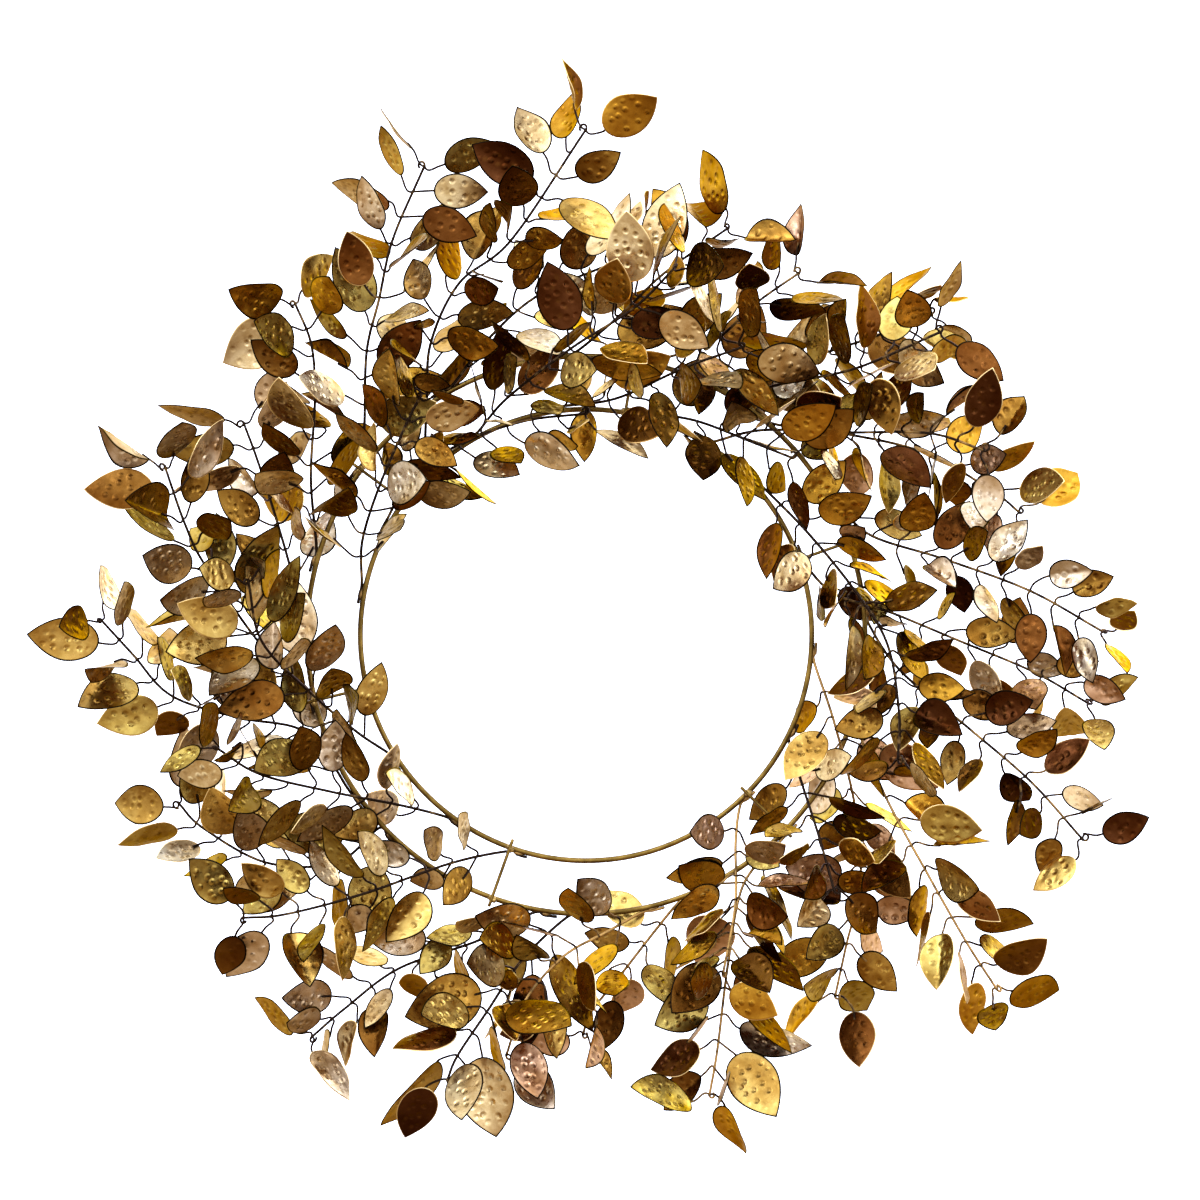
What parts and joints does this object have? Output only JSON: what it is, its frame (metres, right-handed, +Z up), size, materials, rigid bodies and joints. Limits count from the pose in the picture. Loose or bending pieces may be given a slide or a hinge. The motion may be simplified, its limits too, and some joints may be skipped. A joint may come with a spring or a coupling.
{
  "type": "wreath frame with welded leaf sprays",
  "caption": "Flat two-ring wire wreath frame with radial cross wires, carrying welded wire sprays of pressed sheet-metal leaves; hangs from a nail.",
  "frame": {"origin": "the point under the top of the outer ring where a nail or hook carries the wreath", "axes": "+Z up, -Y towards the viewer, +Y towards the wall; the two rings lie in the XZ plane"},
  "size_m": [0.7072, 0.1725, 0.695],
  "materials": {
    "frame_wire": "satin antique gold lacquer over drawn steel wire, brown where it has been welded",
    "leaf_sheet": "satin gold lacquer over pressed sheet iron, from pale champagne to amber brown, with dark cut edges",
    "stem_wire": "dark bronze lacquer over drawn steel wire, satin"
  },
  "bodies": {
    "root": {"inner_ring": "frame_wire", "outer_ring": "frame_wire", "cross_wire_1": "frame_wire", "cross_wire_2": "frame_wire", "cross_wire_3": "frame_wire", "cross_wire_4": "frame_wire", "cross_wire_5": "frame_wire", "cross_wire_6": "frame_wire", "spray_01": "leaf_sheet", "spray_02": "leaf_sheet", "spray_03": "leaf_sheet", "spray_04": "leaf_sheet", "spray_05": "leaf_sheet", "spray_06": "leaf_sheet", "spray_07": "leaf_sheet", "spray_08": "leaf_sheet", "spray_09": "leaf_sheet", "spray_10": "leaf_sheet", "spray_11": "leaf_sheet", "spray_12": "leaf_sheet", "spray_13": "leaf_sheet", "spray_14": "leaf_sheet", "spray_15": "leaf_sheet", "spray_16": "leaf_sheet", "spray_17": "leaf_sheet", "spray_18": "leaf_sheet", "spray_19": "leaf_sheet", "spray_20": "leaf_sheet", "spray_21": "leaf_sheet", "spray_22": "leaf_sheet", "spray_23": "leaf_sheet", "spray_24": "leaf_sheet", "spray_25": "leaf_sheet", "spray_26": "leaf_sheet", "spray_27": "leaf_sheet", "spray_28": "leaf_sheet", "spray_29": "leaf_sheet", "spray_30": "leaf_sheet", "spray_31": "leaf_sheet", "spray_32": "leaf_sheet", "spray_33": "leaf_sheet", "spray_34": "leaf_sheet", "spray_35": "leaf_sheet"}
  },
  "joints": []
}
